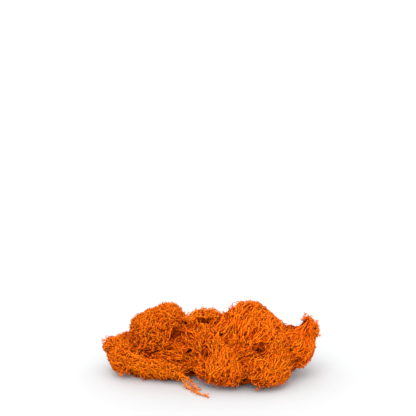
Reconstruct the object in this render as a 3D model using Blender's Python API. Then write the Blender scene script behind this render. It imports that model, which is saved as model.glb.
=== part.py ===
"""Reindeer moss clump: tufts of dyed lichen tangled into one heap that rests on its flattened underside.

The heap's outer form is the blend of one ellipsoid for each tuft, which bridges the valleys between them.
Every tuft is one solid. Its dense middle is lumpy, pressed flat by the floor and pressed in along the seams
with its neighbours, and forked shoots are raised from the faces of that middle.
Metres, +Z up, the viewer at -Y, the origin on the flat underside of the middle tuft.
"""

import math
import random
from dataclasses import dataclass

import bmesh
import bpy
import numpy as np
from mathutils import Matrix, Vector, noise
from mathutils.bvhtree import BVHTree

MM = 0.001

# The room between the pieces
SEAM_GAP = 0.7 * MM
EDGE_MARGIN = 0.5 * MM
SHOOT_CLEARANCE = 0.3 * MM

# A tuft's surface: how sharply it keeps to its own ellipsoid where it meets another, its lumps as shares of
# the radius, and how finely a ray is searched
KEENNESS = 5
FURTHEST_BRIDGE = 1.5
LUMP_DEPTH = 0.14
LUMPS_ACROSS = 2.1
SURFACE_JITTER = 0.035
RAY_STEPS = 12

# A shoot's thickness at its knoll, fork and prongs, and where along a prong its thickness is tested
KNOLL_RADIUS = 2.3 * MM
KNOLL_SHARE = 0.6
FORK_RADIUS = 1.5 * MM
PRONG_RADIUS = 1.1 * MM
PRONG_SHARES = (0.2, 0.45, 0.7, 1.0)
TIP_RADIUS = 0.3 * MM

# A shoot's heights and lengths as shares of its tuft's reach, and the ranges that its form is drawn from
KNOLL_RISE = 0.12
FORK_RISE = 0.55
FORK_UPRIGHT = 0.35
FORK_SPREAD = math.radians(36)
LENGTH_RANGE = (0.85, 1.15)
FLOW_RANGE = (0.6, 1.1)
SPREAD_RANGE = (0.7, 1.2)
PRONG_RANGE = (0.45, 0.62)
PRONG_TWIST = 0.12
WAY_JITTER = 0.35
LEAST_UPRIGHT = 0.4
PLACING_TRIES = 14
LAST_TRY_SHORTER = 0.4

MOSS_ORANGE = (0.68, 0.115, 0.006, 1.0)
MOSS_ROUGHNESS = 0.85


@dataclass
class Tuft:
    """A tuft's own ellipsoid and how it is grown over. Lengths are in millimetres and angles in degrees.

    Roll lifts the right-hand end and pitch leans the top back.
    """

    name: str
    centre: tuple
    radii: tuple
    roll: float
    pitch: float
    reach: float
    flow: tuple
    subdivisions: int
    shoots: int
    seed: int

    def __post_init__(self):
        self.middle = Vector(self.centre) * MM
        roll = Matrix.Rotation(-math.radians(self.roll), 3, "Y")
        self.turn = roll @ Matrix.Rotation(-math.radians(self.pitch), 3, "X")
        self.length = self.reach * MM

    def plain_radius(self, way):
        """Distance from the middle to the plain ellipsoid, along the unit vector way."""
        local = self.turn.transposed() @ way
        return 1 / Vector([part / (radius * MM) for part, radius in zip(local, self.radii)]).length

    def share_at(self, point):
        """How far out a point lies: 0 in the middle and 1 on the plain ellipsoid."""
        offset = point - self.middle
        return offset.length / self.plain_radius(offset.normalized())


TUFTS = [
    Tuft("crown_tuft", (-52, -12, 46.5), (34, 28, 23), 36, 0, 9.5, (0.2, -0.2, 0.2), 3, 130, 14),
    Tuft("left_rim_tuft", (-80, -6, 21.5), (25, 27, 17), 0, 0, 8.5, (-0.4, -0.2, 0.1), 3, 95, 58),
    Tuft("left_skirt_tuft", (-45, -8, 11), (40, 34, 26), 0, 0, 9, (-0.2, -0.4, 0.0), 3, 85, 2),
    Tuft("middle_tuft", (0, 0, 20), (35, 36, 43), -12, 0, 9.5, (0.0, -0.2, 0.2), 3, 110, 3),
    Tuft("fan_tuft", (47, -14, 28), (37, 38, 50), 0, 26, 10, (0.4, -0.1, 0.5), 3, 130, 9),
    Tuft("wing_tuft", (89, -9, 26), (30, 33, 21.5), 40, 0, 8.5, (0.6, -0.1, 0.4), 3, 115, 5),
    Tuft("left_lobe_tuft", (18, -39, 12), (29, 29, 30), 0, 0, 8.5, (0.0, -0.3, 0.2), 3, 60, 6),
    Tuft("right_lobe_tuft", (57, -41, 11), (25, 29, 28), 0, 0, 8.5, (0.3, -0.3, 0.1), 3, 55, 7),
]

# Long shoots that leave the heap: the tuft they grow from and where their tips lie, in millimetres
STRAYS = [
    ("left_rim_tuft", (-107, -8, 35)),
    ("left_rim_tuft", (-90, -36, 4)),
    ("crown_tuft", (-35, -12, 76)),
    ("middle_tuft", (-4, -8, 67)),
    ("fan_tuft", (19, -12, 67)),
    ("wing_tuft", (99, -2, 58)),
    ("wing_tuft", (106, -12, 63)),
    ("wing_tuft", (114, -6, 54)),
]
STRAY_RADIUS = 1.2 * MM
STRAY_STEPS = 4
STRAY_BOW = 0.12
STRAY_PRONG = 3.2 * MM

# The loose sprig leaves the left skirt along the floor: its way out of that tuft, then where it lies
SPRIG_WAY = (19, -31, 3)
SPRIG_ROUTE = [(-27, -46, 10), (-22, -53, 5), (-17, -59, 1.9), (-8, -71, 1.5), (1, -79, 1.5)]
SPRIG_SEAT_GAP = 2.3 * MM
SPRIG_RADIUS = 1.5 * MM
SPRIG_TIP_RADIUS = 0.9 * MM
SPRIG_PRONG = 4.2 * MM
SPRIG_POINTS = 15
SPRIG_BARE_STRETCHES = 3


def own_room(tuft, point):
    """Roughly how far inside its own room a tuft's point is: over the floor and this side of every seam.

    A seam lies where two ellipsoids, grown or shrunk by one same share, would meet.
    """

    share = tuft.share_at(point)
    radius = (point - tuft.middle).length / share
    room = point.z
    for other in TUFTS:
        if other is not tuft:
            other_share = other.share_at(point)
            other_radius = (point - other.middle).length / other_share
            room = min(room, (other_share - share) / (1 / radius + 1 / other_radius))
    return room


def outer_radius(tuft, way):
    """Distance from the tuft's middle to the heap's lumpy outer form, along the unit vector way."""

    def heap_share(distance):
        point = tuft.middle + way * distance
        return sum(one.share_at(point) ** -KEENNESS for one in TUFTS) ** (-1 / KEENNESS)

    near = tuft.plain_radius(way)
    far = near * FURTHEST_BRIDGE
    for _ in range(RAY_STEPS):
        half = (near + far) / 2
        near, far = (half, far) if heap_share(half) < 1 else (near, half)
    return near * (1 + LUMP_DEPTH * noise.noise(way * LUMPS_ACROSS + Vector((tuft.seed, 0, 0))))


def core_point(tuft, way):
    """Where the tuft's dense middle ends along way, and whether the floor or a seam stops it there."""
    free = outer_radius(tuft, way) - tuft.length
    stop = min(free, tuft.middle.z / -way.z) if way.z < -1e-6 else free

    def inside(distance):
        point = tuft.middle + way * distance
        return own_room(tuft, Vector((point.x, point.y, max(point.z, SEAM_GAP)))) >= SEAM_GAP / 2

    near = 0
    for step in range(1, RAY_STEPS + 1):
        far = stop * step / RAY_STEPS
        if not inside(far):
            break
        near = far
    else:
        return tuft.middle + way * stop, stop < free
    for _ in range(RAY_STEPS):
        half = (near + far) / 2
        near, far = (half, far) if inside(half) else (near, half)
    return tuft.middle + way * near, True


def make_core(mesh, tuft, draw):
    """The dense middle. Returns the faces that stand free of the floor and of the neighbours."""
    bmesh.ops.create_icosphere(mesh, subdivisions=tuft.subdivisions, radius=1)
    pressed = set()
    for vert in mesh.verts:
        jitter = Vector([draw.uniform(-1, 1) for _ in range(3)]) * SURFACE_JITTER
        vert.co, stopped = core_point(tuft, (vert.co + jitter).normalized())
        if stopped:
            pressed.add(vert)
    mesh.normal_update()
    return [face for face in mesh.faces if len(pressed.intersection(face.verts)) < 2]


def place_tip(face, centre, direction, radius):
    """Sets a three-sided tip square across direction, with as little twist as it can."""
    start = face.verts[0].co - face.calc_center_median()
    across = (start - direction * start.dot(direction)).normalized()
    for step, vert in enumerate(face.verts):
        vert.co = centre + radius * (Matrix.Rotation(step * math.tau / 3, 3, direction) @ across)
    face.normal_update()


def lengthen(mesh, face, centre, direction, radius):
    """Pushes a tip out to a new place."""
    tip = bmesh.ops.extrude_discrete_faces(mesh, faces=[face])["faces"][0]
    place_tip(tip, centre, direction, radius)
    return tip


def end_in_prongs(mesh, face, tips):
    """Splits a tip into three, each drawn out to the given point on its own side."""
    fork = face.calc_center_median()
    for prong in bmesh.ops.poke(mesh, faces=[face])["faces"]:
        outward = prong.calc_center_median() - fork
        point = bmesh.ops.poke(mesh, faces=[prong])["verts"][0]
        point.co = max(tips, key=lambda tip: (tip - fork).normalized().dot(outward))


def fits(beads, taken):
    """Whether beads, each a point and a radius, are clear of every bead that is already there."""
    if not taken:
        return True
    there = np.array([(*point, radius) for point, radius in taken])
    for point, radius in beads:
        distances = np.linalg.norm(there[:, :3] - np.array(point), axis=1)
        if (distances < there[:, 3] + radius + SHOOT_CLEARANCE).any():
            return False
    return True


def leaning_direction(tuft, root, share, draw):
    """The way that a shoot grows. A share of 1 turns it along the seam with the nearest neighbour."""
    tip = root.calc_center_median() + root.normal * tuft.length
    others = [other for other in TUFTS if other is not tuft]
    rival = min(others, key=lambda other: (other.middle - tip).length)
    toward = (rival.middle - tuft.middle).normalized()
    jitter = Vector([draw.uniform(-1, 1) for _ in range(3)]) * WAY_JITTER
    direction = root.normal + Vector(tuft.flow) * draw.uniform(*FLOW_RANGE) + jitter
    return (direction - toward * max(0, direction.dot(toward)) * share).normalized()


def grow_shoot(mesh, tuft, root, core, taken, draw):
    """A stalk on a low knoll, ending in three prongs. Returns whether there was room for it."""
    base = root.calc_center_median()
    for attempt in range(PLACING_TRIES):
        direction = leaning_direction(tuft, root, attempt / PLACING_TRIES, draw)
        if direction.dot(root.normal) < LEAST_UPRIGHT:
            continue
        length = tuft.length * draw.uniform(*LENGTH_RANGE) * (1 - LAST_TRY_SHORTER * attempt / PLACING_TRIES)
        spread = FORK_SPREAD * draw.uniform(*SPREAD_RANGE)
        knoll = base + root.normal * length * KNOLL_RISE
        fork = base + (root.normal * FORK_UPRIGHT + direction).normalized() * length * FORK_RISE
        corner = root.verts[0].co - base
        across = (corner - direction * corner.dot(direction)).normalized()
        tips = []
        for prong in range(3):
            turn = (prong + 0.5 + draw.uniform(-PRONG_TWIST, PRONG_TWIST)) * math.tau / 3
            out = Matrix.Rotation(turn, 3, direction) @ across
            reach = length * draw.uniform(*PRONG_RANGE)
            tips.append(fork + (direction * math.cos(spread) + out * math.sin(spread)) * reach)
        beads = [((knoll + fork) / 2, FORK_RADIUS), (fork, FORK_RADIUS)]
        for share in PRONG_SHARES:
            radius = TIP_RADIUS + PRONG_RADIUS * (1 - share)
            beads += [(fork.lerp(tip, share), radius) for tip in tips]
        roomy = all(own_room(tuft, point) > radius + EDGE_MARGIN for point, radius in beads)
        above = all(core.find_nearest(point)[3] > radius + EDGE_MARGIN for point, radius in beads[1:])
        if roomy and above and fits(beads, taken):
            break
    else:
        return False
    taken.extend(beads)
    knoll_radius = min(KNOLL_RADIUS, KNOLL_SHARE * math.sqrt(root.calc_area()))
    tip = lengthen(mesh, root, knoll, root.normal, knoll_radius)
    tip = lengthen(mesh, tip, fork, direction, FORK_RADIUS)
    end_in_prongs(mesh, tip, tips)
    return True


def smooth_route(points, count):
    """That many points along a smooth curve through the route's own points."""
    spans = len(points) - 1
    ends = [points[0] * 2 - points[1], *points, points[-1] * 2 - points[-2]]
    route = []
    for step in range(count):
        along = step / (count - 1) * spans
        span = min(int(along), spans - 1)
        t = along - span
        a, b, c, d = ends[span : span + 4]
        route.append(
            0.5 * (2 * b + (c - a) * t + (2 * a - 5 * b + 4 * c - d) * t**2 + (3 * b - a - 3 * c + d) * t**3)
        )
    return route


def grow_along(mesh, face, route, radius, tip_radius):
    """Draws a tip out along a route. Returns the side faces of every stretch."""
    sides = []
    for step in range(1, len(route)):
        before = set(mesh.faces)
        ahead = route[min(step + 1, len(route) - 1)]
        direction = (ahead - route[step - 1]).normalized()
        share = step / (len(route) - 1)
        face = lengthen(mesh, face, route[step], direction, radius + (tip_radius - radius) * share)
        sides.append([side for side in mesh.faces if side not in before and side is not face])
    spike = bmesh.ops.poke(mesh, faces=[face])["verts"][0]
    spike.co += direction * 3 * tip_radius
    return sides


def grow_side_prongs(mesh, sides, length):
    """One short prong on each stretch of a strand, turning from one of its sides to the next."""
    for step, stretch in enumerate(sides):
        side = stretch[step % 3]
        centre = side.calc_center_median()
        tip = centre + side.normal * length
        if tip.z > EDGE_MARGIN:
            bmesh.ops.poke(mesh, faces=[side])["verts"][0].co = tip


def grow_stray(mesh, roots, tip, taken):
    """One long bowed shoot from the nearest free face to a tip outside the heap."""
    root = min(roots, key=lambda face: (face.calc_center_median() - tip).length)
    roots.remove(root)
    base = root.calc_center_median()
    bow = Vector((0, 0, 1)) * (tip - base).length * STRAY_BOW
    through = [base, base.lerp(tip, 0.5) + bow, tip]
    taken.extend((point, STRAY_PRONG) for point in smooth_route(through, 4 * STRAY_STEPS)[3:])
    sides = grow_along(mesh, root, smooth_route(through, STRAY_STEPS + 1), KNOLL_RADIUS, STRAY_RADIUS)
    grow_side_prongs(mesh, sides[1:], STRAY_PRONG)


def spread_out(roots, draw):
    """The roots in a drawn order in which those beside an earlier one come last."""
    draw.shuffle(roots)
    first = []
    crowded = set()
    for root in roots:
        if root not in crowded:
            first.append(root)
            crowded.update(face for edge in root.edges for face in edge.link_faces)
    chosen = set(first)
    return first + [root for root in roots if root not in chosen]


def moss_material():
    material = bpy.data.materials.new("dyed_moss")
    material.use_nodes = True
    shader = material.node_tree.nodes["Principled BSDF"]
    shader.inputs["Base Color"].default_value = MOSS_ORANGE
    shader.inputs["Roughness"].default_value = MOSS_ROUGHNESS
    shader.inputs["Metallic"].default_value = 0.0
    return material


def finish_node(mesh, name, parent, material):
    """Turns the bmesh into a named object of the clump."""
    bmesh.ops.triangulate(mesh, faces=mesh.faces)
    data = bpy.data.meshes.new(name)
    mesh.to_mesh(data)
    mesh.free()
    data.shade_smooth()
    data.materials.append(material)
    node = bpy.data.objects.new(name, data)
    node.parent = parent
    bpy.context.scene.collection.objects.link(node)


def make_tuft(tuft):
    draw = random.Random(tuft.seed)
    mesh = bmesh.new()
    roots = make_core(mesh, tuft, draw)
    core = BVHTree.FromBMesh(mesh)
    sprig = [(point, SPRIG_PRONG) for point in sprig_route(4 * SPRIG_POINTS)]
    roots = [root for root in roots if fits([(root.calc_center_median(), KNOLL_RADIUS)], sprig)]
    taken = sprig.copy()
    for name, tip in STRAYS:
        if name == tuft.name:
            grow_stray(mesh, roots, Vector(tip) * MM, taken)
    grown = 0
    for root in spread_out(roots, draw):
        grown += grow_shoot(mesh, tuft, root, core, taken, draw)
        if grown == tuft.shoots:
            break
    return mesh


def sprig_route(count):
    """The sprig's middle line, from just outside the left skirt's dense middle."""
    skirt = next(tuft for tuft in TUFTS if tuft.name == "left_skirt_tuft")
    way = Vector(SPRIG_WAY).normalized()
    start = core_point(skirt, way)[0] + way * (SPRIG_SEAT_GAP + SPRIG_RADIUS)
    return smooth_route([start] + [Vector(point) * MM for point in SPRIG_ROUTE], count)


def make_sprig():
    """The loose sprig: one strand with side prongs, lying on the floor."""
    route = sprig_route(SPRIG_POINTS)
    mesh = bmesh.new()
    direction = (route[1] - route[0]).normalized()
    turn = direction.to_track_quat("Z", "Y").to_matrix().to_4x4()
    bmesh.ops.create_cone(
        mesh,
        segments=3,
        cap_ends=True,
        radius1=SPRIG_RADIUS,
        radius2=SPRIG_RADIUS,
        depth=2 * SPRIG_RADIUS,
        matrix=Matrix.Translation(route[0]) @ turn,
    )
    mesh.normal_update()
    face = max(mesh.faces, key=lambda side: side.normal.dot(direction))
    sides = grow_along(mesh, face, route, SPRIG_RADIUS, SPRIG_TIP_RADIUS)
    grow_side_prongs(mesh, sides[SPRIG_BARE_STRETCHES:], SPRIG_PRONG)
    return mesh


def main():
    for leftover in list(bpy.data.objects):
        bpy.data.objects.remove(leftover)
    clump = bpy.data.objects.new("reindeer_moss_clump", None)
    bpy.context.scene.collection.objects.link(clump)
    material = moss_material()
    for tuft in TUFTS:
        finish_node(make_tuft(tuft), tuft.name, clump, material)
    finish_node(make_sprig(), "loose_sprig", clump, material)


main()
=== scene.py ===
"""The looks of the reindeer moss clump: fine forked lichen grown over the form of every packed tuft."""

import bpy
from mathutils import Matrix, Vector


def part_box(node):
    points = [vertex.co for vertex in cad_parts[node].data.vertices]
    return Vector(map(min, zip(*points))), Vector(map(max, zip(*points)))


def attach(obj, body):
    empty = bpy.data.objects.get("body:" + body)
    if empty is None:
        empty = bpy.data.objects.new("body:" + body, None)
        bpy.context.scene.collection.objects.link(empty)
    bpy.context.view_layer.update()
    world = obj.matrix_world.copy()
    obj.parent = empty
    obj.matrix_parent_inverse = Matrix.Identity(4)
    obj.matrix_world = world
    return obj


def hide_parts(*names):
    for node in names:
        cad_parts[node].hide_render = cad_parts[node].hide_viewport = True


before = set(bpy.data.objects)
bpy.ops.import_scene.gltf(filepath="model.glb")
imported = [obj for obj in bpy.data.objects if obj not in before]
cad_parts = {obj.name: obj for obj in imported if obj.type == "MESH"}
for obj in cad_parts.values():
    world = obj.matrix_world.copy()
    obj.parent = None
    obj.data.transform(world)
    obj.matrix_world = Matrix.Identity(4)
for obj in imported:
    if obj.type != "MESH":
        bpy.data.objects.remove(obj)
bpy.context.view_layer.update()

import math

import bmesh
import bpy
import numpy as np
from mathutils import Matrix, Vector, noise
from mathutils.bvhtree import BVHTree

# The crown tuft
# The round cushion at the upper left, tilted up to the right. It is dried lichen: hollow stems that fork
# again and again, soaked in an orange dye, matt and powdery. It only lies tangled in its neighbours.
MM = 0.001
# The lichen's orange by level, with painted shade: dark red deep in the heap, where shade falls, up to bright
# orange at the tips.
MOSS_COLOURS_WITH_PAINTED_SHADE = [
    (0.00, (0.360, 0.042, 0.0006)),
    (0.35, (0.800, 0.112, 0.0012)),
    (0.70, (0.850, 0.158, 0.0020)),
    (1.00, (0.850, 0.194, 0.0035)),
]
MOSS_ROUGHNESS = 0.85
MOSS_SHINE = 0.06
PATCH_SCALE = 90
PATCH_DETAIL = 4
PATCH_SHARE = 0.4
POWDER_SCALE = 2200
POWDER_STRENGTH = 0.35
POWDER_DEPTH = 0.1 * MM


def make_moss_material():
    """Orange lichen with painted shade, darker inside a tuft and brighter towards its tips, and varied in
    soft patches.
    """
    material = bpy.data.materials.new("dyed_lichen_with_painted_shade")
    material.use_nodes = True
    nodes = material.node_tree.nodes
    links = material.node_tree.links
    shader = nodes["Principled BSDF"]
    shader.inputs["Roughness"].default_value = MOSS_ROUGHNESS
    shader.inputs["Specular IOR Level"].default_value = MOSS_SHINE
    # The level attribute sets the painted shade: 0 deep in the heap and 1 on its form.
    level = nodes.new("ShaderNodeAttribute")
    level.attribute_name = "level"
    place = nodes.new("ShaderNodeTexCoord")
    patches = nodes.new("ShaderNodeTexNoise")
    patches.inputs["Scale"].default_value = PATCH_SCALE
    patches.inputs["Detail"].default_value = PATCH_DETAIL
    links.new(place.outputs["Object"], patches.inputs["Vector"])
    shift = nodes.new("ShaderNodeMath")
    shift.operation = "MULTIPLY_ADD"
    shift.inputs[1].default_value = PATCH_SHARE
    shift.inputs[2].default_value = -PATCH_SHARE / 2
    links.new(patches.outputs["Fac"], shift.inputs[0])
    shifted = nodes.new("ShaderNodeMath")
    shifted.operation = "ADD"
    links.new(level.outputs["Fac"], shifted.inputs[0])
    links.new(shift.outputs[0], shifted.inputs[1])
    tones = nodes.new("ShaderNodeValToRGB")
    ramp = tones.color_ramp
    while len(ramp.elements) < len(MOSS_COLOURS_WITH_PAINTED_SHADE):
        ramp.elements.new(0.5)
    for element, (position, colour) in zip(ramp.elements, MOSS_COLOURS_WITH_PAINTED_SHADE):
        element.position = position
        element.color = (*colour, 1)
    links.new(shifted.outputs[0], tones.inputs["Fac"])
    links.new(tones.outputs["Color"], shader.inputs["Base Color"])
    powder = nodes.new("ShaderNodeTexNoise")
    powder.inputs["Scale"].default_value = POWDER_SCALE
    bump = nodes.new("ShaderNodeBump")
    bump.inputs["Strength"].default_value = POWDER_STRENGTH
    bump.inputs["Distance"].default_value = POWDER_DEPTH
    links.new(place.outputs["Object"], powder.inputs["Vector"])
    links.new(powder.outputs["Fac"], bump.inputs["Height"])
    links.new(bump.outputs["Normal"], shader.inputs["Normal"])
    return material


moss_material = make_moss_material()

FORM_BLUR = math.radians(7)
FORM_POWER = 40
STRAY_SHARE = 1.4
TURNS = 120
RISES = 61
KEENNESS = 13
# Valleys that growth fills and hollows that it leaves open: each a middle and a radius, in millimetres.
VALLEYS = [((40, -34, 34), 21), ((74, -32, 32), 20), ((4, -32, 36), 20)]
HOLLOWS = [
    ((-2, -15, 60), 6),
    ((54, -50, 36), 7),
    ((40, -60, 8), 7),
    ((-61, -39, 30), 6),
    ((-49, -42, 27), 5),
    ((-31, -25, 46), 6),
    ((-10, -40, 0), 14),
    ((91, -45, 2), 10),
    ((23, -8, 73), 9),
    ((-62, -53, -7), 18),
    ((-37, -54, -7), 18),
    ((5, -46, 30), 4),
    ((92, -12, 61), 11),
    ((92, 6, 53), 12),
]
HOLLOW_SHARE = 0.045
# How deep beneath the heap's form the painted shade goes from brightest to darkest.
PAINTED_SHADE_DEPTH = 6.5 * MM
PIT_WIDTH = 1.9 * MM
PIT_DEPTH = 0.5
FEELING = 5 * MM
STEEPEST_DOWN = -0.35
FLOOR_CLEARANCE = 0.4 * MM
# The way that the stems of each combed tuft lie. The pits between them are drawn out along it.
GRAINS = {
    "left_skirt_tuft": (0.94, -0.1, -0.3),
    "middle_tuft": (0.25, -0.1, 0.96),
    "fan_tuft": (0.62, -0.1, 0.78),
    "wing_tuft": (0.62, -0.1, 0.78),
    "left_lobe_tuft": (0.35, -0.2, 0.5),
    "right_lobe_tuft": (0.4, -0.2, 0.4),
}
GRAIN_SHARE = 0.72


def unit(rows):
    """Rows of coordinates as ways of length 1."""
    return rows / np.linalg.norm(rows, axis=-1, keepdims=True)


class Form:
    """The shape of a packed tuft around the middle of its box, without its stray shoots. Its grain is the way
    that its stems lie."""

    def __init__(self, node):
        low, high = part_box(node)
        self.middle = np.array((low + high) / 2)
        self.grain = np.array(GRAINS.get(node, (0, 0, 0)))
        self.corners = np.array([vert.co[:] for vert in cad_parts[node].data.vertices]) - self.middle
        distances = np.linalg.norm(self.corners, axis=1)
        usual = self.mean_reach(unit(self.corners), 1)
        self.corners = self.corners[distances < STRAY_SHARE * usual]
        turns = np.arange(TURNS) * math.tau / TURNS
        turns, rises = np.meshgrid(turns, np.arange(RISES) * math.pi / (RISES - 1))
        flat = np.sin(rises)
        ways = np.stack([flat * np.cos(turns), flat * np.sin(turns), np.cos(rises)], axis=-1)
        self.outer = self.mean_reach(ways.reshape(-1, 3), FORM_POWER).reshape(RISES, TURNS)

    def mean_reach(self, ways, power):
        """A mean of the corners' distances near each way: close to the largest for a high power, and close to
        the smallest for a low one."""
        distances = np.linalg.norm(self.corners, axis=1)
        angles = np.arccos(np.clip(ways @ (self.corners / distances[:, None]).T, -1, 1))
        weights = np.exp(-0.5 * (angles / FORM_BLUR) ** 2)
        scale = distances.mean()
        means = (weights @ (distances / scale) ** power) / weights.sum(axis=1)
        return scale * means ** (1 / power)

    def share(self, places):
        """How far out of the tuft places lie: 0 in the middle and 1 at the tips."""
        offsets = places - self.middle
        distances = np.linalg.norm(offsets, axis=1)
        turns = np.rint(np.arctan2(offsets[:, 1], offsets[:, 0]) * TURNS / math.tau).astype(int) % TURNS
        rises = np.rint(np.arccos(offsets[:, 2] / distances) * (RISES - 1) / math.pi).astype(int)
        return distances / self.outer[rises, turns]


forms = {node: Form(node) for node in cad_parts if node.endswith("_tuft")}


def form_share(places):
    """How far out of the whole heap places lie. Tangled growth bridges the valleys between the tufts."""
    shares = [form.share(places) for form in forms.values()]
    for middle, radius in VALLEYS:
        shares.append(np.linalg.norm(places - np.array(middle) * MM, axis=1) / (radius * MM))
    return (np.array(shares) ** -KEENNESS).sum(axis=0) ** (-1 / KEENNESS)


def heap_share(places):
    """How far out of the heap places lie once its hollows are taken out."""
    share = form_share(places)
    for middle, radius in HOLLOWS:
        depths = 1 - np.linalg.norm(places - np.array(middle) * MM, axis=1) / (radius * MM)
        share = np.maximum(share, 1 + HOLLOW_SHARE * radius * depths)
    return share


def outward(places):
    """The way straight out of the heap at each place, never steeply down."""
    steps = np.eye(3) * FEELING
    out = unit(np.stack([heap_share(places + step) - heap_share(places - step) for step in steps], axis=1))
    out[:, 2] = np.maximum(out[:, 2], STEEPEST_DOWN)
    return unit(out)


def hold(form, places, limits):
    """Pulls places that lie past their limit back to it, or deeper over a pit, and lifts them off the floor.
    Returns them with their levels for the painted shade: 0, darkest, deep in the heap and 1 on the heap's
    form."""
    middle = form.middle
    share = heap_share(places)
    shrunk = places - form.grain * (places @ form.grain)[:, None] * GRAIN_SHARE
    bumps = np.array([noise.noise(Vector(spot) / PIT_WIDTH) for spot in shrunk])
    limits = limits + PIT_DEPTH * np.minimum(0, bumps)
    kept = np.minimum(1, limits / share)
    held = middle + (places - middle) * kept[:, None]
    depths = np.linalg.norm(held - middle, axis=1) * (1 / (form_share(places) * kept) - 1)
    held[:, 2] = np.maximum(held[:, 2], FLOOR_CLEARANCE)
    return held, np.clip(1 - depths / PAINTED_SHADE_DEPTH, 0, 1)


def corners_of(faces):
    """The corners of each face, as rows of coordinates."""
    return np.array([[vert.co[:] for vert in face.verts] for face in faces])


def in_order(mesh, faces, operator):
    """Runs an operator on the faces and returns the faces that it makes, in the order of the given ones."""
    number = mesh.faces.layers.int["number"]
    for count, face in enumerate(faces):
        face[number] = count
    return sorted(operator(mesh, faces=faces)["faces"], key=lambda face: face[number])


def push_out(mesh, tips, places, ways, radius, levels):
    """Lengthens every tip: its three-sided end moves to its place, square across its way."""
    layer = mesh.verts.layers.float["level"]
    corners = corners_of(tips)
    ends = in_order(mesh, tips, bmesh.ops.extrude_discrete_faces)
    across = corners[:, 0] - corners.mean(axis=1)
    across = unit(across - ways * (across * ways).sum(axis=1)[:, None])
    beside = np.cross(ways, across)
    for corner in range(3):
        turn = corner * math.tau / 3
        ring = places + (across * math.cos(turn) + beside * math.sin(turn)) * radius
        for end, spot, level in zip(ends, ring, levels):
            vert = end.verts[corner]
            vert.co = spot
            vert[layer] = level
    return ends


def split(mesh, tips, levels):
    """Splits every tip into three parts that meet in its middle."""
    layer = mesh.verts.layers.float["level"]
    parts = in_order(mesh, tips, bmesh.ops.poke)
    for part, level in zip(parts[::3], levels):
        part.verts[2][layer] = level
    return parts


TWIG_SPREAD = math.radians(56)
TWIG_SPREAD_RANGE = (0.6, 1.4)
TWIG_LENGTH = 2.4 * MM
TWIG_LENGTH_RANGE = (0.6, 1.3)
TWIG_LIMIT = 0.02
TONE_OF_STEM = 0.18
BEND_TO_COMB = 0.25
STEM_WANDER = 0.38
STEM_LENGTH_RANGE = (0.8, 1.2)


def raise_twigs(mesh, form, parts, ways, limits, tones, draw):
    """Draws every part out to a point that leans away from its own stem's way."""
    layer = mesh.verts.layers.float["level"]
    corners = corners_of(parts)
    out = corners[:, :2].mean(axis=1) - corners[:, 2]
    out = unit(out - ways * (out * ways).sum(axis=1)[:, None])
    angles = (TWIG_SPREAD * draw.uniform(*TWIG_SPREAD_RANGE, len(parts)))[:, None]
    lengths = (TWIG_LENGTH * draw.uniform(*TWIG_LENGTH_RANGE, len(parts)))[:, None]
    points = corners[:, 2] + (ways * np.cos(angles) + out * np.sin(angles)) * lengths
    points, levels = hold(form, points, limits + TWIG_LIMIT)
    spikes = in_order(mesh, parts, bmesh.ops.poke)
    for spike, point, level in zip(spikes[::3], points, levels + tones):
        spike.verts[2].co = point
        spike.verts[2][layer] = level


def grow_stems(mesh, form, roots, ways, stretches, limits, radii, comb, follow, draw):
    """Grows a stem from every root. At each fork one part goes on and two end as pointed twigs. Stretches are
    the lengths between forks. Follow, from 0 to 1, keeps the stems straighter and along the surface."""
    places = corners_of(roots).mean(axis=1)
    tips = roots
    tones = draw.normal(0, TONE_OF_STEM, len(roots))
    for count, (radius, lengths) in enumerate(zip(radii, stretches)):
        if count:
            wander = draw.normal(0, STEM_WANDER * (1 - follow / 2), ways.shape)
            ways = unit(ways + comb(places) * BEND_TO_COMB + wander)
        if follow and count:
            out = outward(places)
            ways = unit(ways - out * (ways * out).sum(axis=1)[:, None] * follow)
        lengths = lengths * draw.uniform(*STEM_LENGTH_RANGE, len(tips))
        places, levels = hold(form, places + ways * lengths[:, None], limits)
        tips = push_out(mesh, tips, places, ways, radius, levels + tones)
        parts = split(mesh, tips, levels + tones)
        onward = count % 3 if count < len(radii) - 1 else None
        twigs = [part for number, part in enumerate(parts) if number % 3 != onward]
        each = len(twigs) // len(tips)
        spread = [np.repeat(values, each, axis=0) for values in (ways, limits, tones)]
        raise_twigs(mesh, form, twigs, *spread, draw)
        if onward is not None:
            tips = parts[onward::3]


STRAND_STEP = 3.2 * MM
STRAND_WANDER = 0.7 * MM
STRAND_RADII = (0.55 * MM, 0.42 * MM)
FEWEST_STOPS = 3
BRANCHLET_RADII = [0.52 * MM, 0.44 * MM]
BRANCHLET_LENGTH = 5 * MM
BRANCHLET_LENGTH_RANGE = (0.5, 1.2)
BRANCHLET_ANGLE_RANGE = (0.6, 1.2)
FIRST_BRANCHLET = 1.15
BRANCHLET_LOSS = 0.7
OFF_LIMITS = 9.0


def still(spots):
    """A comb that leaves stems as they are."""
    return np.zeros_like(spots)


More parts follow.
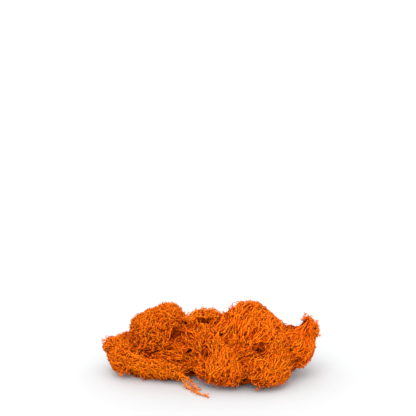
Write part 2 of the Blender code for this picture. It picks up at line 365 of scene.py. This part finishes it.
def grow_strand(mesh, form, root, route, radii, branchlet, draw):
    """Grows one strand along a route. At each fork one part goes on and two grow into branchlets."""
    tip = root
    radius, tip_radius = radii
    for count in range(1, len(route)):
        share = count / (len(route) - 1)
        way = unit(route[min(count + 1, len(route) - 1)][None] - route[count - 1][None])
        place, level = hold(form, route[count][None], OFF_LIMITS)
        tip = push_out(mesh, [tip], place, way, radius + (tip_radius - radius) * share, level)[0]
        parts = split(mesh, [tip], level)
        onward = None if count == len(route) - 1 else count % 3
        sides = [part for number, part in enumerate(parts) if number != onward]
        corners = corners_of(sides)
        out = unit(corners[:, :2].mean(axis=1) - corners[:, 2])
        angles = draw.uniform(*BRANCHLET_ANGLE_RANGE, len(sides))[:, None]
        ways = unit(way * np.cos(angles) + out * np.sin(angles))
        length = branchlet / 2 * (FIRST_BRANCHLET - BRANCHLET_LOSS * share)
        stretches = [length * draw.uniform(*BRANCHLET_LENGTH_RANGE, len(sides)) for _ in BRANCHLET_RADII]
        limits = np.full(len(sides), OFF_LIMITS)
        grow_stems(mesh, form, sides, ways, stretches, limits, BRANCHLET_RADII, still, 0, draw)
        if onward is not None:
            tip = parts[onward]


def strand_route(form, start, end, bow, on_surface, draw):
    """Points from the start to the end of a strand, bowed upwards, or laid on the heap's form."""
    start, end = np.array(start) * MM, np.array(end) * MM
    count = max(FEWEST_STOPS, round(np.linalg.norm(end - start) / STRAND_STEP))
    along = np.linspace(0, 1, count)[:, None]
    route = start + (end - start) * along
    if on_surface:
        route = form.middle + (route - form.middle) / heap_share(route)[:, None]
    route[:, 2] += 4 * bow * MM * (along * (1 - along))[:, 0]
    return route + draw.normal(0, STRAND_WANDER, route.shape)


CORE_SUBDIVISIONS = 5
CORE_DEPTH = 1 * MM
CORE_ROUGHNESS = 14
CORE_BUMPS = 1.5 * MM
CORE_CLEARANCE = 0.1 * MM
SMOOTHINGS = 4
USUAL_GROWTH = 10 * MM
FEELING_STEP = 1 * MM
FEELING_STEPS = 34
NEIGHBOUR_EDGE = 0.9
CORE_LIMIT = 0.93
CORE_PAINTED_SHADE_LEVEL = -0.3
LEAST_GROWTH = 1.5 * MM
LONGEST_GROWTH = 15 * MM
LOWEST_NORMAL = -0.8
MOST_TURNED_IN = -0.5
TUCK = 4 * MM
BURIED = 0.52
ROOT_SPACING = 1.5 * MM
UPRIGHT_RADII = [0.50 * MM, 0.46 * MM, 0.42 * MM, 0.38 * MM]
RUNNER_RADII = [0.52 * MM, 0.50 * MM, 0.48 * MM, 0.46 * MM, 0.44 * MM, 0.42 * MM]
ROOT_WANDER = 0.16
LEAST_SLOPE = 0.45
UPRIGHT_RISE = 1.1
RUNNER_LEAN = 0.35
RUNNER_FIRST_RISE = 0.92
RUNNER_FOLLOW = 0.7
LUMP_WIDTH = 11 * MM
CLUSTER_WIDTH = 4.5 * MM
LUMP_HEIGHT = 0.045
UNEVENNESS = 0.035
RUNNER_RISE = 0.005
USUAL_LIMIT = 0.945


def spread_roots(places, spacing, draw):
    """Numbers of places that lie at least the spacing apart, picked in a drawn order."""
    picked = []
    kept = np.empty(places.shape)
    for number in draw.permutation(len(places)):
        squares = ((kept[: len(picked)] - places[number]) ** 2).sum(axis=1)
        if squares.min(initial=np.inf) > spacing**2:
            kept[len(picked)] = places[number]
            picked.append(number)
    return np.array(picked)


def core_distances(form, node, mesh, ways):
    """How far the dense middle reaches each way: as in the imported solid, or closer beneath the surface."""
    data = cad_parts[node].data
    corners = [vert.co[:] for vert in data.vertices]
    solid = BVHTree.FromPolygons(corners, [face.vertices[:] for face in data.polygons])
    distances = np.array([solid.ray_cast(form.middle, way)[3] for way in ways])
    edges = np.array([[vert.index for vert in edge.verts] for edge in mesh.edges])
    # The shortest distances spread first, which leaves the solid's shoots out, and then all even out.
    for smoothing in range(2 * SMOOTHINGS):
        pairs = distances[edges]
        if smoothing < SMOOTHINGS:
            lowest = distances.copy()
            np.minimum.at(lowest, edges, pairs[:, ::-1])
            distances = lowest
        else:
            total = distances.copy()
            count = np.ones(len(distances))
            np.add.at(total, edges, pairs[:, ::-1])
            np.add.at(count, edges, 1)
            distances = total / count
    # The middle follows the heap's form outwards where it lies deep beneath it, up to the next tuft.
    reach = distances.copy()
    for _ in range(FEELING_STEPS):
        places = form.middle + ways * reach[:, None]
        others = np.array([other.share(places) for other in forms.values() if other is not form])
        reach += FEELING_STEP * ((heap_share(places) < 1) & (others > NEIGHBOUR_EDGE).all(axis=0))
    distances = np.maximum(distances, reach - USUAL_GROWTH)
    # It draws back where it comes close to the heap's form or into a hollow.
    for _ in range(FEELING_STEPS):
        places = form.middle + ways * distances[:, None]
        distances -= FEELING_STEP * (heap_share(places) > CORE_LIMIT)
    return distances


def make_core(mesh, form, node):
    """Makes the dense middle of a tuft, rough and dark with painted shade, inside its growth."""
    bmesh.ops.create_icosphere(mesh, subdivisions=CORE_SUBDIVISIONS, radius=1)
    level = mesh.verts.layers.float.new("level")
    mesh.faces.layers.int.new("number")
    mesh.verts.index_update()
    ways = unit(np.array([vert.co[:] for vert in mesh.verts]))
    inner = core_distances(form, node, mesh, ways)
    for vert, way, distance in zip(mesh.verts, ways, inner - CORE_DEPTH):
        rough = noise.noise(vert.co * CORE_ROUGHNESS) * CORE_BUMPS
        vert.co = form.middle + way * (distance + rough)
        vert.co.z = max(vert.co.z, CORE_CLEARANCE)
        # The dense middle gets the darkest painted shade.
        vert[level] = CORE_PAINTED_SHADE_LEVEL
    mesh.normal_update()


def finish_piece(name, node, mesh):
    """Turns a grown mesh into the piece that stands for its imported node."""
    bmesh.ops.triangulate(mesh, faces=mesh.faces)
    data = bpy.data.meshes.new(name)
    mesh.to_mesh(data)
    mesh.free()
    data.shade_smooth()
    data.materials.append(moss_material)
    piece = bpy.data.objects.new(name, data)
    bpy.context.scene.collection.objects.link(piece)
    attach(piece, "root")
    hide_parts(node)


def make_tuft(
    name, node, base, lean, runners, stretch, foot, seed, limit=USUAL_LIMIT, strands=(), strays=(),
):
    """Grows a packed tuft over with stems that spread out from its base and end at their limit, a share of
    the heap's form. Runners are the share of the stems that lie along the surface, and stretch is the length
    between their forks. Nothing grows below the foot. Strands are laid one by one: each from a start to an
    end, and bowed up. Strays leave the heap from the nearest place on the dense middle. Base, stretch, foot,
    strands and strays are in millimetres.
    """
    form = forms[node]
    draw = np.random.default_rng(seed)
    base = np.array(base) * MM
    mesh = bmesh.new()
    make_core(mesh, form, node)
    faces = list(mesh.faces)
    normals = np.array([face.normal[:] for face in faces])
    places = corners_of(faces).mean(axis=1)
    out = outward(places)
    distances = np.linalg.norm(places - form.middle, axis=1)
    growth = np.minimum(distances * (1 / heap_share(places) - 1), LONGEST_GROWTH)
    tops = places + out * growth[:, None]
    above = places + out * TUCK
    others = np.array([other.share(above) for other in forms.values() if other is not form])
    able = (growth > LEAST_GROWTH) & (tops[:, 2] > foot * MM) & (others > BURIED).all(axis=0)
    able &= (normals[:, 2] > LOWEST_NORMAL) & ((normals * out).sum(axis=1) > MOST_TURNED_IN)
    able = np.flatnonzero(able)

    for start, end, bow in strands:
        route = strand_route(form, start, end, bow, True, draw)
        nearest = able[np.linalg.norm(places[able] - route[0], axis=1).argmin()]
        able = able[able != nearest]
        route = np.concatenate([places[nearest][None], route])
        grow_strand(mesh, form, faces[nearest], route, STRAND_RADII, BRANCHLET_LENGTH, draw)
    for end, bow in strays:
        nearest = able[np.linalg.norm(places[able] - np.array(end) * MM, axis=1).argmin()]
        able = able[able != nearest]
        route = strand_route(form, places[nearest] / MM, end, bow, False, draw)
        grow_strand(mesh, form, faces[nearest], route, STRAND_RADII, BRANCHLET_LENGTH, draw)

    def comb(spots):
        """The ways that the stems fan out from the base."""
        return unit(spots - base)

    chosen = able[spread_roots(tops[able], ROOT_SPACING, draw)]
    spots = [Vector(top) for top in tops[chosen]]
    lumps = [noise.noise(spot / LUMP_WIDTH) + noise.noise(spot / CLUSTER_WIDTH) for spot in spots]
    along = comb(places[chosen])
    along = unit(along - out[chosen] * (along * out[chosen]).sum(axis=1)[:, None])
    limits = limit + LUMP_HEIGHT * np.array(lumps) + draw.normal(0, UNEVENNESS, len(chosen))
    running = draw.random(len(chosen)) < runners
    for picked, leaning, radii in ((~running, lean, UPRIGHT_RADII), (running, RUNNER_LEAN, RUNNER_RADII)):
        numbers = chosen[picked]
        start = unit(out[numbers] * (1 - leaning) + along[picked] * leaning)
        start = unit(start + draw.normal(0, ROOT_WANDER, start.shape))
        rise = growth[numbers] / np.clip((start * out[numbers]).sum(axis=1), LEAST_SLOPE, 1)
        stretches = [rise * UPRIGHT_RISE / len(radii)] * len(radii)
        follow = 0
        if radii is RUNNER_RADII:
            onward = np.full(len(rise), stretch * MM)
            stretches = [rise * RUNNER_FIRST_RISE] + [onward] * (len(radii) - 1)
            follow = RUNNER_FOLLOW
            limits[picked] += RUNNER_RISE
        roots = [faces[number] for number in numbers]
        grow_stems(mesh, form, roots, start, stretches, limits[picked], radii, comb, follow, draw)
    finish_piece(name, node, mesh)


make_tuft(
    "crown_tuft_stems", "crown_tuft", base=(-62, -5, 25), lean=0.2, runners=0.15, stretch=2.4, foot=2,
    seed=1, strays=[((-35, -12, 75), 1)],
)

# The left rim tuft
# The fluffy left end of the heap, of the same dyed lichen. Two shoots stray out at its upper left and one
# hangs down at its front. It lies tangled in the skirt tuft and the crown tuft.
make_tuft(
    "left_rim_tuft_stems", "left_rim_tuft", base=(-60, 0, 22), lean=0.3, runners=0.2, stretch=2.4, foot=3,
    seed=2, strays=[((-107, -8, 35), 3), ((-103, -14, 30), 2), ((-88, -36, 7), 2)],
)

# The left skirt tuft
# The flattened tuft under the crown, of the same dyed lichen. Long strands lie side by side along its front.
# It rests on the floor and carries the crown tuft.
SKIRT_STRANDS = 8
SKIRT_START = (-80, -34, 31)
SKIRT_START_DROP = 2.5
SKIRT_END = (-34, -42, 20)
SKIRT_END_DROP = 1.4
SKIRT_BOW = -1.5
skirt_strands = []
for row in range(SKIRT_STRANDS):
    start = (SKIRT_START[0] + 2 * (row % 3), SKIRT_START[1], SKIRT_START[2] - SKIRT_START_DROP * row)
    end = (SKIRT_END[0] + 3 * (row % 4), SKIRT_END[1], SKIRT_END[2] - SKIRT_END_DROP * row)
    skirt_strands.append((start, end, SKIRT_BOW))
make_tuft(
    "left_skirt_tuft_stems", "left_skirt_tuft", base=(-110, -20, 45), lean=0.4, runners=0.5, stretch=3.2,
    foot=4.5, seed=3, strands=skirt_strands,
)

# The middle tuft
# The upright tuft in the middle, of the same dyed lichen. A few strands arch over a hollow in its top. It is
# wedged between the crown tuft and the fan tuft.
ARCH_STRANDS = 3
ARCH_START = (-21, -18, 60)
ARCH_END = (10, -16, 62)
ARCH_SPACING = 4
ARCH_BOW = 4
arch_strands = []
for row in range(ARCH_STRANDS):
    back = ARCH_SPACING * row
    start = (ARCH_START[0], ARCH_START[1] + back, ARCH_START[2])
    end = (ARCH_END[0] + row, ARCH_END[1] + back, ARCH_END[2])
    arch_strands.append((start, end, ARCH_BOW + row))
make_tuft(
    "middle_tuft_stems", "middle_tuft", base=(0, 0, -20), lean=0.25, runners=0.25, stretch=2.6, foot=6,
    seed=4, strands=arch_strands,
)

# The fan tuft
# The tallest tuft, of the same dyed lichen, with long stems that are combed up to the right. It stands behind
# the two lobes and is tangled in them.
make_tuft(
    "fan_tuft_stems", "fan_tuft", base=(-25, -60, -40), lean=0.4, runners=0.65, stretch=3.6, foot=2,
    seed=5,
)

# The wing tuft
# The right-hand end, of the same dyed lichen, lifted off the floor, with a fringe of single shoots round its
# rim. It leans out of the fan tuft.
FRINGE_CENTRE = (98, 43)
FRINGE_RADII = (18, 19)
FRINGE_ANGLES = range(-5, 80, 7)
FRINGE_ROWS = (-14, -8, -2)
FRINGE_BOW = 1
fringe = []
for number, angle in enumerate(FRINGE_ANGLES):
    across = FRINGE_CENTRE[0] + FRINGE_RADII[0] * math.cos(math.radians(angle))
    up = FRINGE_CENTRE[1] + FRINGE_RADII[1] * math.sin(math.radians(angle))
    fringe.append(((across, FRINGE_ROWS[number % len(FRINGE_ROWS)], up), FRINGE_BOW))
make_tuft(
    "wing_tuft_stems", "wing_tuft", base=(42, -45, -22), lean=0.45, runners=0.7, stretch=3.5, foot=9,
    seed=6, limit=0.89, strays=fringe,
)

# The left lobe tuft
# The left one of the two low lobes in front, of the same dyed lichen. It rests on the floor and merges into
# the fan tuft above it.
make_tuft(
    "left_lobe_tuft_stems", "left_lobe_tuft", base=(-10, -60, -40), lean=0.3, runners=0.3, stretch=2.6,
    foot=0.8, seed=7,
)

# The right lobe tuft
# The right one of the two lobes, of the same dyed lichen, parted from the left one by a dark notch. It rests
# on the floor and merges into the fan tuft and the wing tuft.
make_tuft(
    "right_lobe_tuft_stems", "right_lobe_tuft", base=(0, -60, -40), lean=0.3, runners=0.35, stretch=2.6,
    foot=0.8, seed=8,
)

# The loose sprig
# Two strands of the same dyed lichen, with fluffy branchlets on their sides. They trail out of the skirt and
# lie loose on the floor, one beside the other.
SPRIG_ROUTES = [
    [(-28, -36, 13.5), (-27, -46, 10), (-22, -53, 5), (-17, -59, 1.9), (-8, -71, 1.5), (1, -79, 1.5)],
    [(-27, -44, 10.5), (-21, -48, 9), (-16, -52, 6), (-12, -57, 3), (-9, -63, 1.8)],
]
SPRIG_STEP = 3.0 * MM
LOOSE_RADII = (1.05 * MM, 0.7 * MM)
LOOSE_BRANCHLET = 6.5 * MM
LOOSE_SEED = 9


def make_loose_sprig():
    """Grows each strand of the sprig along its route from a small three-sided stump."""
    draw = np.random.default_rng(LOOSE_SEED)
    mesh = bmesh.new()
    mesh.verts.layers.float.new("level")
    mesh.faces.layers.int.new("number")
    for corners in SPRIG_ROUTES:
        knots = np.array(corners, dtype=float) * MM
        stops = np.concatenate([[0], np.cumsum(np.linalg.norm(np.diff(knots, axis=0), axis=1))])
        along = np.linspace(0, stops[-1], round(stops[-1] / SPRIG_STEP))
        route = np.stack([np.interp(along, stops, knots[:, axis]) for axis in range(3)], axis=1)
        way = Vector(route[1] - route[0]).normalized()
        matrix = Matrix.Translation(route[0]) @ way.to_track_quat("Z", "Y").to_matrix().to_4x4()
        root = bmesh.ops.create_cone(
            mesh, segments=3, cap_ends=True, radius1=LOOSE_RADII[0], radius2=LOOSE_RADII[0],
            depth=LOOSE_RADII[0], matrix=matrix,
        )
        mesh.normal_update()
        ends = {face for vert in root["verts"] for face in vert.link_faces}
        tip = max(ends, key=lambda face: face.normal.dot(way))
        grow_strand(mesh, forms["left_skirt_tuft"], tip, route, LOOSE_RADII, LOOSE_BRANCHLET, draw)
    finish_piece("loose_sprig_strand", "loose_sprig", mesh)


make_loose_sprig()

# The floor
# A wide plain floor, matt and pale, that the heap only lies on. The light makes it nearly white.
FLOOR_SIZE = 60.0
FLOOR_COLOUR = (0.442, 0.450, 0.454)
FLOOR_ROUGHNESS = 0.8
floor_mesh = bmesh.new()
bmesh.ops.create_grid(floor_mesh, x_segments=1, y_segments=1, size=FLOOR_SIZE / 2)
floor_data = bpy.data.meshes.new("floor")
floor_mesh.to_mesh(floor_data)
floor_mesh.free()
floor = bpy.data.objects.new("floor", floor_data)
bpy.context.scene.collection.objects.link(floor)
floor_material = bpy.data.materials.new("white_floor")
floor_material.use_nodes = True
floor_shader = floor_material.node_tree.nodes["Principled BSDF"]
floor_shader.inputs["Base Color"].default_value = (*FLOOR_COLOUR, 1)
floor_shader.inputs["Roughness"].default_value = FLOOR_ROUGHNESS
floor_data.materials.append(floor_material)

# The light and the camera
# An even white studio light from all around, a soft key light from the upper left and a weaker one low in
# front. The camera stands in front, about 20 degrees above the floor.
STUDIO_STRENGTH = 1.82
world = bpy.data.worlds.new("studio")
bpy.context.scene.world = world
world.use_nodes = True
studio_light = world.node_tree.nodes["Background"]
studio_light.inputs["Color"].default_value = (1, 1, 1, 1)
studio_light.inputs["Strength"].default_value = STUDIO_STRENGTH


def add_soft_sun(name, place, spread, strength):
    """A soft light from far off, so that the floor is lit evenly, that shines from a place to the middle."""
    data = bpy.data.lights.new(name, "SUN")
    data.angle = math.radians(spread)
    data.energy = strength
    light = bpy.data.objects.new(name, data)
    light.location = place
    light.rotation_euler = (-Vector(place)).to_track_quat("-Z", "Y").to_euler()
    bpy.context.scene.collection.objects.link(light)


add_soft_sun("key_light", (-0.3, -0.8, 1.25), 45, 1.3)
add_soft_sun("front_light", (0.1, -1.5, 0.4), 60, 0.9)

PHOTO_SIDE = 416
PIXEL = 1.04 * MM
CLUMP_PIXEL = (209, 350)
CLUMP_POINT = Vector((3, -25, 30)) * MM
ELEVATION = math.radians(20)
DISTANCE = 1.2
SENSOR = 36
SEEN_FROM = 0.01
SEEN_TO = 100

camera_data = bpy.data.cameras.new("camera")
camera_data.sensor_width = SENSOR
camera_data.lens = SENSOR * DISTANCE / (PHOTO_SIDE * PIXEL)
camera_data.clip_start = SEEN_FROM
camera_data.clip_end = SEEN_TO
camera = bpy.data.objects.new("camera", camera_data)
camera.location = CLUMP_POINT + DISTANCE * Vector((0, -math.cos(ELEVATION), math.sin(ELEVATION)))
pixels_up = CLUMP_PIXEL[1] - PHOTO_SIDE / 2
pixels_left = CLUMP_PIXEL[0] - PHOTO_SIDE / 2
rise = math.atan(pixels_up * PIXEL / DISTANCE)
turn = math.atan(pixels_left * PIXEL / DISTANCE)
camera.rotation_euler = (math.pi / 2 - ELEVATION + rise, 0, turn)
bpy.context.scene.collection.objects.link(camera)
bpy.context.scene.camera = camera
bpy.context.scene.view_settings.view_transform = "Standard"
